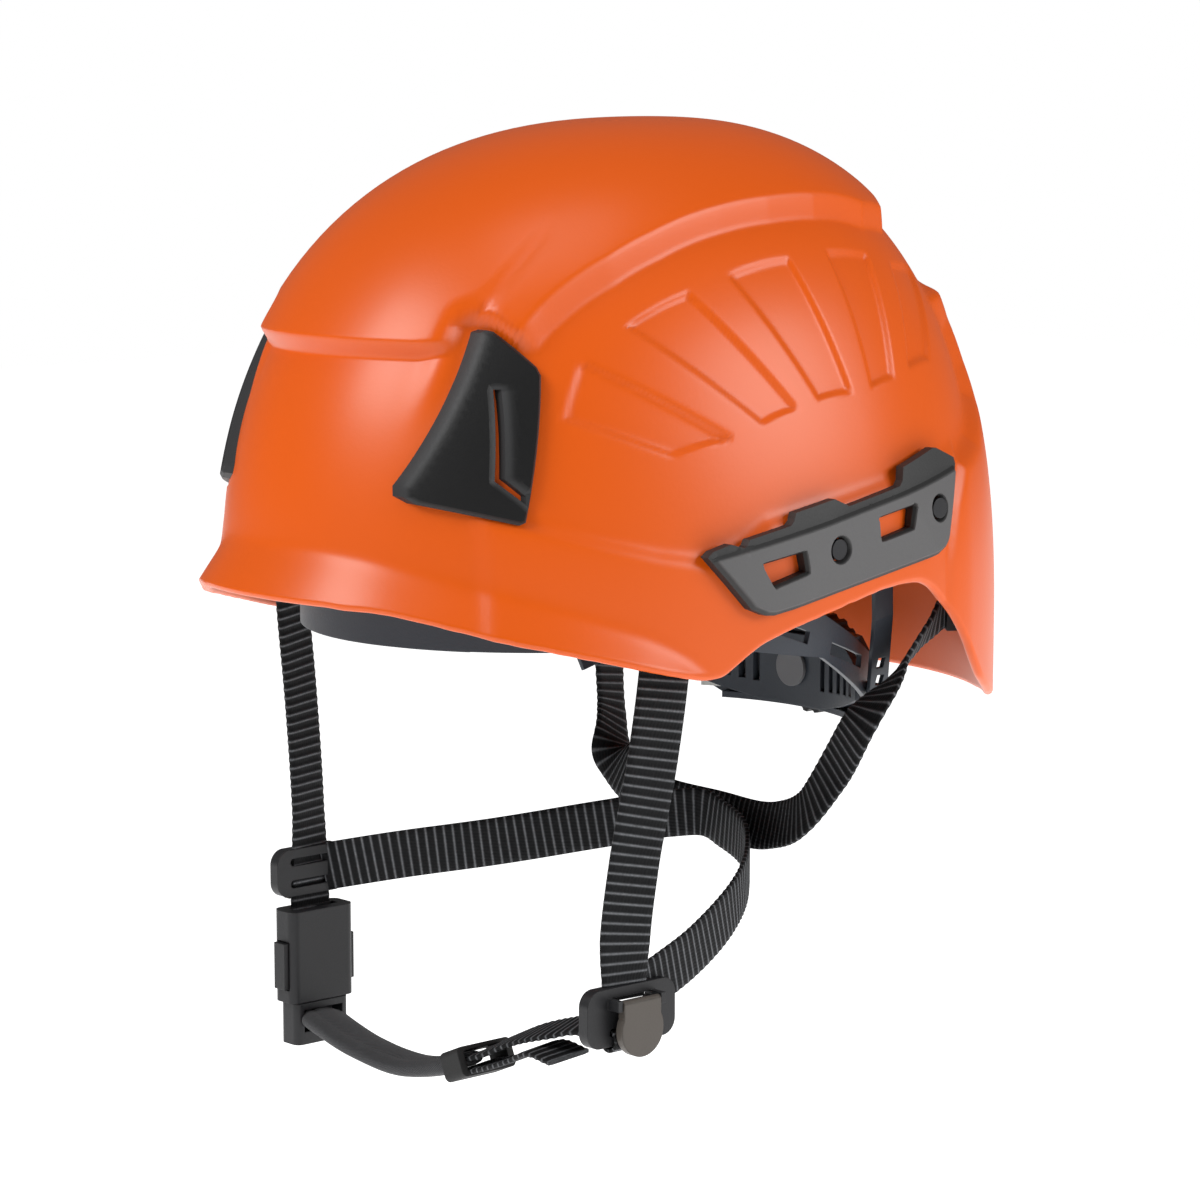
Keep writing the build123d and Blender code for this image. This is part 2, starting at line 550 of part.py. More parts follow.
TONGUE_TOP = SOCKET_CENTRE[2] - SOCKET_SIZE[2] / 2 - 0.5
with BuildPart() as buckle_tongue:
    with BuildSketch(Plane.XY.offset(TONGUE_TOP - 14)):
        with Locations((SOCKET_CENTRE[0], SOCKET_CENTRE[1])):
            RectangleRounded(9.5, 22, 2.5)
    extrude(amount=14)
    for side in (-1, 1):
        with Locations((SOCKET_CENTRE[0] - 1.4, SOCKET_CENTRE[1] + side * 5.0, TONGUE_TOP + 5.5)):
            Box(2.6, 3.2, 12)
    with Locations((SOCKET_CENTRE[0] + 3, SOCKET_CENTRE[1], TONGUE_TOP - 6)):
        Box(8, WEB_WIDTH, 7.4, mode=Mode.SUBTRACT)
write(buckle_tongue.part, "buckle_tongue")

# ---------------------------------------------------------------- chin strap
SLEEVE = [(-73.5, -68.5, -152.5), (-60, -73, -153.5), (-38, -77, -155.5), (-10, -78, -156), (5, -78, -152.5),
          (14, -78, -149)]
write(ribbon([(p, (0, 1, 0)) for p in SLEEVE], width=15.6, thick=6.4), "chin_sleeve")

WEBBING = [(16.2, -78, -148), (28, -78, -142.5), (43, -77, -135.5), (60, -76, -130), (69, -74, -127.5),
           (76.9, -70.6, -128.4)]
LOOP_IN, LOOP_OUT = 2.75, 3.75
with BuildPart() as chin_webbing:
    add(ribbon([(p, (0, 1, 0.25 if 20 < p[0] < 72 else 0)) for p in WEBBING]))
    with Locations(Location((DIVIDER_LEFT[0], DIVIDER_LEFT[1], LOOP_Z), (90, 0, 0))):
        Cylinder(LOOP_OUT, WEB_WIDTH)
        Cylinder(LOOP_IN, WEB_WIDTH + 4, mode=Mode.SUBTRACT)
write(chin_webbing.part, "chin_webbing")

LOOSE_END = [(17.5, -78, -151), (30, -78.5, -147), (44, -79.5, -141.5), (54, -80.5, -137), (66, -81, -137.5)]
write(ribbon([(p, (0, 1, 0.1)) for p in LOOSE_END]), "webbing_end")

with BuildPart() as strap_keeper:
    slope = Plane(origin=(19.5, -78, -148.0), x_dir=(0, 1, 0), z_dir=(0.92, 0, 0.4))
    with BuildSketch(slope):
        RectangleRounded(22, 9.6, 2)
        RectangleRounded(17.0, 6.8, 1, mode=Mode.SUBTRACT)
    extrude(amount=4.6, both=True)
write(strap_keeper.part, "strap_keeper")
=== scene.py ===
"""Climbing helmet for tree work: moulded shell, side rails, size-adjusting headband and webbing chin straps."""
import bmesh
import bpy
import numpy as np
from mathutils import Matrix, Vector
from mathutils.geometry import delaunay_2d_cdt


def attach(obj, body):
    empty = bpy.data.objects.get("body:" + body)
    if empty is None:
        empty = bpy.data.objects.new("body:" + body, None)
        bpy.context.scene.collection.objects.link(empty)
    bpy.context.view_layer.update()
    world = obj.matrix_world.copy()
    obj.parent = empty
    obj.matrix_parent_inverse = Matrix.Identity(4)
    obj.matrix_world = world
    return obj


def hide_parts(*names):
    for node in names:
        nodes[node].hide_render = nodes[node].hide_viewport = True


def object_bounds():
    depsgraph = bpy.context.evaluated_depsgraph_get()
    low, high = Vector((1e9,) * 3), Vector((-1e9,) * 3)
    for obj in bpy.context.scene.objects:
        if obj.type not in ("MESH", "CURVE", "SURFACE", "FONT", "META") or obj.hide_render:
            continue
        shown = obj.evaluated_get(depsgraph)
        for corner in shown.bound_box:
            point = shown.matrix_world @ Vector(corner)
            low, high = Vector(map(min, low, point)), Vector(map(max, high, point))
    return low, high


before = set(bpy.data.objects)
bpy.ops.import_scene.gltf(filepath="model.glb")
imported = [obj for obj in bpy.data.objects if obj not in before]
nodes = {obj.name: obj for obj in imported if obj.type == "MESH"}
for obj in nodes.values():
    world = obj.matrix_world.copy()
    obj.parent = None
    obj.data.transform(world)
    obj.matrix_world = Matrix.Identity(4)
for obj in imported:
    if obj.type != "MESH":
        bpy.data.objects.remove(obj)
cad_box = [list(corner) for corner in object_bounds()]
MM = 0.001


# ------------------------------------------------------------------ camera, floor and light
# A plain pale floor, low enough for the chin strap to swing down, three large soft lights, and a long lens
# at the wearer's left front, a little above the brim.
def look_from(azimuth, elevation):
    """Unit vector from the object to a viewer: azimuth 0 is in front (-Y), 90 is the wearer's left (+X)."""
    a, e = np.radians([azimuth, elevation])
    return Vector((np.sin(a) * np.cos(e), -np.cos(a) * np.cos(e), np.sin(e)))


AIM = Vector((-0.013, 0.003, -0.013))
VIEW_FROM, VIEW_DISTANCE = look_from(48, 8.3), 1.3
FLOOR_DROP = 0.17
camera = bpy.data.objects.new("camera", bpy.data.cameras.new("camera"))
bpy.context.scene.collection.objects.link(camera)
camera.data.lens, camera.data.sensor_width = 118.17, 36.0
camera.data.clip_start, camera.data.clip_end = 0.05, 20.0
camera.location = AIM + VIEW_FROM * VIEW_DISTANCE
camera.rotation_mode = "QUATERNION"
camera.rotation_quaternion = (-VIEW_FROM).to_track_quat("-Z", "Y")
bpy.context.scene.camera = camera
bpy.context.scene.view_settings.view_transform = "Standard"


class Sock:
    """A node's output socket; + and * build Math nodes with numbers on either side, and ** one to a power."""

    def __init__(self, tree, socket):
        self.tree, self.socket = tree, socket

    def _math(self, operation, a, b):
        return self.tree.node("ShaderNodeMath", {"operation": operation}, {0: a, 1: b})

    def __add__(self, other):
        return self._math("ADD", self, other)

    __radd__ = __add__

    def __mul__(self, other):
        return self._math("MULTIPLY", self, other)

    __rmul__ = __mul__

    def __pow__(self, other):
        return self._math("POWER", self, other)

    def soft(self, low, high):
        """Smooth step of this value from 0 at low to 1 at high."""
        return self.tree.node("ShaderNodeMapRange", {"interpolation_type": "SMOOTHSTEP"},
                              {0: self, 1: low, 2: high, 3: 0.0, 4: 1.0})


class Finish:
    """A material with a Principled shader; node() adds any other node and returns its output."""

    def __init__(self, name, rough, metal=0.0, **constants):
        self.material = bpy.data.materials.new(name)
        self.material.use_nodes = True
        self.links = self.material.node_tree.links
        self.nodes = self.material.node_tree.nodes
        self.shader = self.nodes["Principled BSDF"]
        self.shader.inputs["Roughness"].default_value = rough
        self.shader.inputs["Metallic"].default_value = metal
        for socket, value in constants.items():
            self.shader.inputs[socket.replace("_", " ")].default_value = value

    def put(self, target, value):
        if isinstance(value, Sock):
            self.links.new(value.socket, target)
        elif isinstance(value, (tuple, list)) and target.type == "RGBA" and len(value) == 3:
            target.default_value = (*value, 1.0)
        else:
            target.default_value = value

    def node(self, kind, settings=None, inputs=None, output=0):
        made = self.nodes.new(kind)
        for key, value in (settings or {}).items():
            setattr(made, key, value)
        for key, value in (inputs or {}).items():
            self.put(made.inputs[key], value)
        return Sock(self, made.outputs[output])

    def set(self, **values):
        for socket, value in values.items():
            self.put(self.shader.inputs[socket.replace("_", " ")], value)
        return self

    def place(self):
        return self.node("ShaderNodeTexCoord", output="Object")

    def noise(self, scale, detail=3.0, where=None):
        return self.node("ShaderNodeTexNoise", {}, {"Vector": where or self.place(), "Scale": scale,
                                                    "Detail": detail})

    def blend(self, share, a, b):
        return self.node("ShaderNodeMix", {"data_type": "RGBA"}, {0: share, 6: a, 7: b}, output=2)

    def bump(self, height, strength, distance):
        return self.node("ShaderNodeBump", {}, {"Height": height, "Strength": strength,
                                                "Distance": distance})

    def wear(self, piece):
        """Gives this finish to a piece, or to a CAD node by name, as its only material."""
        piece = nodes[piece] if isinstance(piece, str) else piece
        piece.data.materials.clear()
        piece.data.materials.append(self.material)
        return piece


def add_light(name, azimuth, elevation, distance, size, power):
    """A soft square light that faces the helmet."""
    lamp = bpy.data.objects.new(name, bpy.data.lights.new(name, "AREA"))
    lamp.data.shape, lamp.data.size, lamp.data.energy = "SQUARE", size, power
    lamp.location = look_from(azimuth, elevation) * distance
    lamp.rotation_mode = "QUATERNION"
    lamp.rotation_quaternion = (-look_from(azimuth, elevation)).to_track_quat("-Z", "Y")
    bpy.context.scene.collection.objects.link(lamp)


add_light("key_light", -10, 42, 1.5, 0.7, 17)
add_light("top_light", 60, 78, 1.3, 0.6, 2.5)
add_light("side_light", 118, 22, 1.6, 0.8, 16)
world = bpy.data.worlds.new("studio")
world.use_nodes = True
backdrop = world.node_tree.nodes["Background"]
backdrop.inputs["Color"].default_value = (1, 1, 1, 1)
backdrop.inputs["Strength"].default_value = 0.14
bright = world.node_tree.nodes.new("ShaderNodeBackground")
bright.inputs["Color"].default_value = (1, 1, 1, 1)
bright.inputs["Strength"].default_value = 1.0
ray = world.node_tree.nodes.new("ShaderNodeLightPath")
either = world.node_tree.nodes.new("ShaderNodeMixShader")
world.node_tree.links.new(ray.outputs["Is Camera Ray"], either.inputs[0])
world.node_tree.links.new(backdrop.outputs[0], either.inputs[1])
world.node_tree.links.new(bright.outputs[0], either.inputs[2])
world.node_tree.links.new(either.outputs[0], world.node_tree.nodes["World Output"].inputs["Surface"])
bpy.context.scene.world = world


def grid_mesh(name, points, wrap_rows=False, wrap_columns=False, caps=False):
    """Object from a grid of points (rows, columns, 3): each cell is a quad, and either way may close.
    With caps, the first and last rows are closed by a fan of triangles to their middle."""
    rows, columns = points.shape[:2]
    index = np.arange(rows * columns).reshape(rows, columns)
    if wrap_rows:
        index = np.vstack([index, index[:1]])
    if wrap_columns:
        index = np.hstack([index, index[:, :1]])
    faces = np.stack([index[:-1, :-1], index[:-1, 1:], index[1:, 1:], index[1:, :-1]], -1).reshape(-1, 4)
    faces, corners = faces.tolist(), points.reshape(-1, 3)
    if caps:
        ends = np.array([points[0].mean(0), points[-1].mean(0)])
        hub = np.full(index.shape[1] - 1, len(corners))
        faces += np.stack([hub, index[0, 1:], index[0, :-1]], -1).tolist()
        faces += np.stack([hub + 1, index[-1, :-1], index[-1, 1:]], -1).tolist()
        corners = np.vstack([corners, ends])
    return face_mesh(name, corners, faces)


def face_mesh(name, points, faces):
    """Smooth-shaded object from points and faces, linked to the scene."""
    mesh = bpy.data.meshes.new(name)
    mesh.from_pydata(np.asarray(points, float).tolist(), [], faces)
    mesh.polygons.foreach_set("use_smooth", np.ones(len(mesh.polygons), bool))
    mesh.update()
    piece = bpy.data.objects.new(name, mesh)
    bpy.context.scene.collection.objects.link(piece)
    return piece


floor_z = cad_box[0][2] - FLOOR_DROP
span = np.linspace(-4, 4, 3)
floor = grid_mesh("floor", np.stack([*np.meshgrid(span, span), np.full((3, 3), floor_z)], -1))
floor_finish = Finish("pale_floor", 0.9)
floor_finish.set(Base_Color=floor_finish.blend(floor_finish.noise(6.0) * 0.02, (0.93, 0.93, 0.93),
                                               (0.86, 0.86, 0.87)),
                 Emission_Color=(1, 1, 1), Emission_Strength=0.92).wear(floor)


# ------------------------------------------------------------------ outer shell
# One injection-moulded ABS shell, satin orange. A crest stands up along the crown, the tail swells over
# the nape, shallow flutes run under the crest, and the brim turns out along its lower edge.
DOME_Y, DOME_Z = 11.0, -21.0
HALF_WIDTH, FRONT_LENGTH, REAR_LENGTH, HEIGHT, SKIRT = 104.0, 153.0, 112.0, 161.0, 420.0
PLAN_POWER, SIDE_POWER = 2.1, 2.5


def dome_point(turn, rise, outward=0.0):
    """Superellipsoid: at plan angle turn and elevation rise, the ray's length R solves
    ((|x/b|^p + |y/a|^p)^(q/p) + |z/c|^q) = 1, and the point is then moved along the unit normal."""
    x = np.cos(turn) * np.cos(rise)
    y = np.sin(turn) * np.cos(rise)
    z = np.sin(rise)
    a = np.where(y > 0, REAR_LENGTH, FRONT_LENGTH)
    c = np.where(z > 0, HEIGHT, SKIRT)
    plan = np.abs(x / HALF_WIDTH) ** PLAN_POWER + np.abs(y / a) ** PLAN_POWER + 1e-12
    body = plan ** (SIDE_POWER / PLAN_POWER) + np.abs(z / c) ** SIDE_POWER
    reach = body ** (-1 / SIDE_POWER)
    x, y, z = x * reach, y * reach, z * reach
    lead = (SIDE_POWER / PLAN_POWER) * (plan * reach ** PLAN_POWER) ** (SIDE_POWER / PLAN_POWER - 1)
    nx = lead * PLAN_POWER * np.sign(x) * np.abs(x / HALF_WIDTH) ** (PLAN_POWER - 1) / HALF_WIDTH
    ny = lead * PLAN_POWER * np.sign(y) * np.abs(y / a) ** (PLAN_POWER - 1) / a
    nz = SIDE_POWER * np.sign(z) * np.abs(z / c) ** (SIDE_POWER - 1) / c
    normal = np.stack([nx, ny, nz], -1)
    normal /= np.linalg.norm(normal, axis=-1, keepdims=True)
    point = np.stack([x, y + DOME_Y, z + DOME_Z], -1)
    return point + normal * np.asarray(outward)[..., None], normal


def side_of(u, v, corners):
    """Signed distance from points (u, v) to a closed outline: negative inside."""
    a = np.asarray(corners, float)
    b = np.roll(a, -1, 0)
    best = np.full(np.shape(u), 1e9)
    inside = np.zeros(np.shape(u), bool)
    for (au, av), (bu, bv) in zip(a, b):
        du, dv = bu - au, bv - av
        t = np.clip(((u - au) * du + (v - av) * dv) / (du * du + dv * dv + 1e-12), 0, 1)
        best = np.minimum(best, np.hypot(u - au - t * du, v - av - t * dv))
        crosses = (av > v) != (bv > v)
        inside ^= crosses & (u < du * (v - av) / (dv if abs(dv) > 1e-9 else 1e-9) + au)
    return np.where(inside, -best, best)


def ease(value, low, high):
    """Smooth step from 0 at low to 1 at high."""
    t = np.clip((value - low) / (high - low), 0, 1)
    return t * t * (3 - 2 * t)


def ramp(value, low, high, corner=0.16):
    """Straight slope from 0 at low to 1 at high whose two corners are rounded."""
    t = (value - low) / (high - low)
    s = 0.5 * (np.sqrt(t * t + corner ** 2) - np.sqrt((t - 1) ** 2 + corner ** 2))
    return np.clip(s + 0.5, 0, 1)


# Side-view lines, as (y, z) in millimetres: the lower edge, the brim's crease, and the closed outlines of the
# tail, the lower band and the vent cover. The crest, its wall and its nose are outlines in plan, as (x, y).
RIM = [(-175, 9), (-147, 6), (-131, 4), (-111, -3), (-86, -10), (-66, -15.5), (-54, -18.5), (-47, -18),
       (-41, -13.5), (-34, -9), (-22, -5), (0, 0.5), (14, 3.5), (24, 4.5), (33, 4.2), (40, 1), (48, -5.5),
       (56, -15.5), (64, -25.5), (70, -31.5), (76, -35), (84, -39), (92, -42), (108, -43.5), (150, -44)]
CREST_PLAN = [(27, -160), (31, -122), (38, -113.5), (47, -103), (54, -93), (60, -80), (64, -62), (65.6, -45),
              (66.5, -20), (66.8, 0), (66.3, 20), (64, 44), (58, 59), (50, 64), (0, 65)]
CREST_PLAN = CREST_PLAN + [(-x, y) for x, y in reversed(CREST_PLAN[:-1])]
CREST_RISE, NOSE_LEVEL = 5.6, 77.0
TAIL_RISE, BAND_RISE, FLUTE_DEPTH = 5.0, 2.2, 1.15
BRIM_FLARE, BRIM_DROP = 6.6, 11.5
FLUTE_Y, FLUTE_Z = 21, 15
TAIL = [(200, 90), (84, 90), (80, 86), (88, 76), (90, 64), (88, 55), (73, 43), (58, 38), (50, 26), (45, 8),
        (43, -60), (200, -60)]
BAND = [(-112, 31), (-103, 29), (-91, 25.5), (-79, 22), (-66, 18.5), (-52, 16), (-40, 20), (-30, 26), (60, 42),
        (60, -60), (-112, -60)]
VENT_COVER = [(-100, 85), (-101.5, 84.2), (-126.6, 39.5), (-127, 36.6), (-125, 34.6), (-104, 28.6), (-102.4, 29.4),
              (-91.6, 72), (-92, 74.4), (-98.6, 84.6)]
BRIM_CREASE = [(-175, 20), (-139, 19), (-133, 17), (-127, 13.5), (-110, 8), (-91, 1), (-72, -6), (-58, -14),
               (-46, -22), (150, -60)]


def eased_line(knots, reach):
    """The same broken line read every millimetre, each value a bell-weighted mean of those within reach."""
    u = np.arange(knots[0][0], knots[-1][0] + 0.5, 1.0)
    v = np.interp(u, *zip(*knots))
    window = np.hanning(2 * reach + 1)
    padded = np.pad(v, reach, mode="reflect", reflect_type="odd")
    return u, np.convolve(padded, window / window.sum(), "valid")


RIM_LINE, CREASE_LINE = eased_line(RIM, 4), eased_line(BRIM_CREASE, 9)
WALL_PLAN = [(48, -170), (51, -140), (55, -122), (58.5, -100), (60, -85)] + CREST_PLAN[6:15]
WALL_PLAN = WALL_PLAN + [(-x, y) for x, y in reversed(WALL_PLAN[:-1])]
NOSE_PLAN = [(29, -170), (33, -122), (39, -114.5), (44, -107), (47, -98), (48, -86), (48, -60)]
NOSE_PLAN = NOSE_PLAN + [(-x, y) for x, y in reversed(NOSE_PLAN)]


def crest_side(point):
    """Signed plan distance outside the crest, or the drop below its nose, whichever is more."""
    plan = side_of(point[..., 0], point[..., 1], CREST_PLAN)
    return np.maximum(plan, np.where(point[..., 1] < -60, NOSE_LEVEL - point[..., 2], -99))


def crest_share(point):
    """Crest height from 0 to 1: a steep wall at the sides, a lip under the nose, and between the nose and
    the wall a slow rise from the forehead."""
    x, y, z = np.abs(point[..., 0]), point[..., 1], point[..., 2]
    wall = 1 - ramp(side_of(point[..., 0], y, WALL_PLAN), -2.7, 1.7, 0.08)
    nose = side_of(point[..., 0], y, NOSE_PLAN)
    lip = 1 - ramp(np.maximum(nose, NOSE_LEVEL - z), -2.0, 0.9, 0.1)
    rise = ease(z, 50, 86) * ease(x, 35, 51)
    behind = ease(y, -92, -70)
    return wall * np.maximum.reduce([lip, rise, behind])


def shell_relief(point):
    """Outward relief of the skin in mm, added up from crest, tail, lower band, brim and flutes."""
    x, y, z = np.abs(point[..., 0]), point[..., 1], point[..., 2]
    crest = crest_share(point) * ease(side_of(y, z, VENT_COVER), 0.2, 4.6)
    tail_side = side_of(y, z, TAIL)
    tail = (1 - ramp(tail_side, -3.6, 1.4, 0.25)) * ease(y, 30, 60)
    band = 1 - ramp(side_of(y, z, BAND), -2.2, 1.4, 0.3)
    crease = np.interp(y, *CREASE_LINE)
    drop = crease - z
    flare = BRIM_FLARE * ease(-y, 44, 64)
    brim = flare * np.clip(0.5 * (drop + np.sqrt(drop * drop + 4.0)) / BRIM_DROP, 0, 1.25)
    angle = np.degrees(np.arctan2(-(y - FLUTE_Y), z - FLUTE_Z))
    reach = np.hypot(y - FLUTE_Y, z - FLUTE_Z)
    flutes = np.zeros_like(x)
    for first, last, near_first, near_last, far_first, far_last in FLUTES:
        share = np.clip((angle - first) / (last - first), 0, 1)
        width = np.radians(np.minimum(angle - first, last - angle)) * reach
        length = np.minimum(reach - (near_first + share * (near_last - near_first)),
                            (far_first + share * (far_last - far_first)) - reach)
        flutes = np.maximum(flutes, ramp(np.minimum(width, length), -0.3, 0.9, 0.2))
    raised = np.maximum.reduce([CREST_RISE * crest, TAIL_RISE * tail * (1 - crest), BAND_RISE * band])
    return raised + brim - FLUTE_DEPTH * flutes * (1 - crest) * (x > 40)


# Flutes, each between two angles about FLUTE_Y, FLUTE_Z, from +Z towards -Y: inner and outer reach at both.
FLUTES = [(58.6, 67.8, 70, 86, 117, 117), (37.8, 50.0, 56, 63, 101, 110), (13.0, 28.5, 49, 53, 91, 96),
          (-11.0, 2.0, 52, 49, 90, 90), (-32.0, -20.0, 65, 57, 96, 90)]
SHELL_WALL = 3.2
COLUMNS, TOP_ROWS, STEP_ROWS, SIDE_ROWS = 540, 30, 12, 118
turn = np.linspace(0, 2 * np.pi, COLUMNS, endpoint=False) + np.pi / 2
turn = turn - 0.11 * np.sin(2 * turn)
rise = np.radians(np.linspace(89.9, -24, 900))
field_turn, field_rise = np.meshgrid(turn, rise)
base, _ = dome_point(field_turn, field_rise)
arc = np.vstack([np.zeros(COLUMNS), np.cumsum(np.linalg.norm(np.diff(base, axis=0), axis=-1), 0)])
edge = crest_side(base)
rim_gap = base[..., 2] - np.interp(base[..., 1], *RIM_LINE)
# Rows follow the crest's edge: arc lengths down each column to the top and the foot of its step, and to the rim.
step_top = np.array([arc[np.argmax(edge[:, k] > -3.6), k] for k in range(COLUMNS)])
step_foot = np.array([arc[np.argmax(edge[:, k] > 2.8), k] for k in range(COLUMNS)])
for _ in range(3):
    step_top = (np.roll(step_top, 1) + step_top * 2 + np.roll(step_top, -1)) / 4
    step_foot = (np.roll(step_foot, 1) + step_foot * 2 + np.roll(step_foot, -1)) / 4
rim_arc = np.array([arc[np.argmax(rim_gap[:, k] < 0), k] for k in range(COLUMNS)])
rim_arc = (np.roll(rim_arc, 1) + rim_arc * 2 + np.roll(rim_arc, -1)) / 4
rows = np.vstack([np.linspace(0.0, 1.0, TOP_ROWS + 1)[:-1, None] * step_top,
                  step_top + np.linspace(0, 1, STEP_ROWS + 1)[:-1, None] * (step_foot - step_top),
                  step_foot + np.linspace(0, 1, SIDE_ROWS)[:, None] * (rim_arc - step_foot)])
row_rise = np.array([np.interp(rows[:, k], arc[:, k], rise) for k in range(COLUMNS)]).T
skin_base, skin_normal = dome_point(np.broadcast_to(turn, row_rise.shape), row_rise)
relief = shell_relief(skin_base)
outer = skin_base + skin_normal * relief[..., None]
# The wall's inner face follows the relief softly, and the rim between the two is a half round.
soft = relief.copy()
for _ in range(6):
    soft = (np.roll(soft, 1, 1) + soft * 2 + np.roll(soft, -1, 1)) / 4
    soft[1:-1] = (soft[:-2] + 2 * soft[1:-1] + soft[2:]) / 4
inner = skin_base + skin_normal * (soft - SHELL_WALL - 0.2)[..., None]
middle = (outer[-1] + inner[-1]) / 2
half = (outer[-1] - inner[-1]) / 2
down = outer[-1] - outer[-3]
down -= half * (np.sum(down * half, -1) / np.sum(half * half, -1))[:, None]
down /= np.linalg.norm(down, axis=-1, keepdims=True)
sweep = np.radians([15, 40, 65, 90, 115, 140, 165])[:, None, None]
lip = middle + half * np.cos(sweep) + down * np.linalg.norm(half, axis=-1)[:, None] * np.sin(sweep)
inner_rows = inner[::-1][::12]
shell_points = np.vstack([outer, lip, inner_rows[:-1], inner[:1]])
shell = grid_mesh("shell_skin", shell_points[:, ::-1] * MM, wrap_columns=True, caps=True)
shell_finish = Finish("orange_abs", 0.36, Specular_IOR_Level=0.38, Coat_Weight=0.05, Coat_Roughness=0.22)
grain = shell_finish.noise(900.0, 2.0)
cloud = shell_finish.noise(9.0, 2.0)
shell_finish.set(Base_Color=shell_finish.blend(cloud.soft(0.3, 0.7) * 0.35, (0.65, 0.088, 0.0005),
                                               (0.61, 0.080, 0.0005)),
                 Roughness=0.33 + 0.07 * cloud,
                 Normal=shell_finish.bump(grain, 0.25, 0.0001)).wear(shell)
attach(shell, "shell")
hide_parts("outer_shell")

# ------------------------------------------------------------------ accessory rails
# Glass-filled nylon plates screwed to the shell over the ears, grey on their faces, with dark chamfered
# borders and a dark ledge with three tabs above. Two slots take the blades of ear defenders or a visor.
def dome_x(y, z, outward):
    """Half-width of the form at a side-view point: the superellipsoid equation solved for x, with its
    axes all longer by outward."""
    a = np.where(y > DOME_Y, REAR_LENGTH, FRONT_LENGTH) + outward
    c = np.where(z > DOME_Z, HEIGHT + outward, SKIRT)
    share = (1 - np.abs((z - DOME_Z) / c) ** SIDE_POWER) ** (PLAN_POWER / SIDE_POWER)
    share = share - np.abs((y - DOME_Y) / a) ** PLAN_POWER
    return (HALF_WIDTH + outward) * np.clip(share, 1e-6, None) ** (1 / PLAN_POWER)


def ring_points(corners, inset, step):
    """Points every step along a closed outline, moved inwards by inset, or outwards where it is negative;
    those that come nearer to the outline are left out."""
    a = np.asarray(corners, float)
    b = np.roll(a, -1, 0)
    sides = [p + (q - p) * np.arange(n)[:, None] / n for p, q, n in
             zip(a, b, np.maximum(1, np.round(np.linalg.norm(b - a, axis=1) / step)).astype(int))]
    line = np.vstack(sides)
    if inset == 0:
        return line
    ahead = np.roll(line, -1, 0) - np.roll(line, 1, 0)
    ahead /= np.linalg.norm(ahead, axis=1, keepdims=True)
    across = np.stack([-ahead[:, 1], ahead[:, 0]], -1)
    moved = np.vstack([line + across * inset, line - across * inset])
    return moved[side_of(*moved.T, corners) < -inset + 0.03 * abs(inset)] if inset > 0 else \
        moved[side_of(*moved.T, corners) > -inset - 0.03 * abs(inset)]


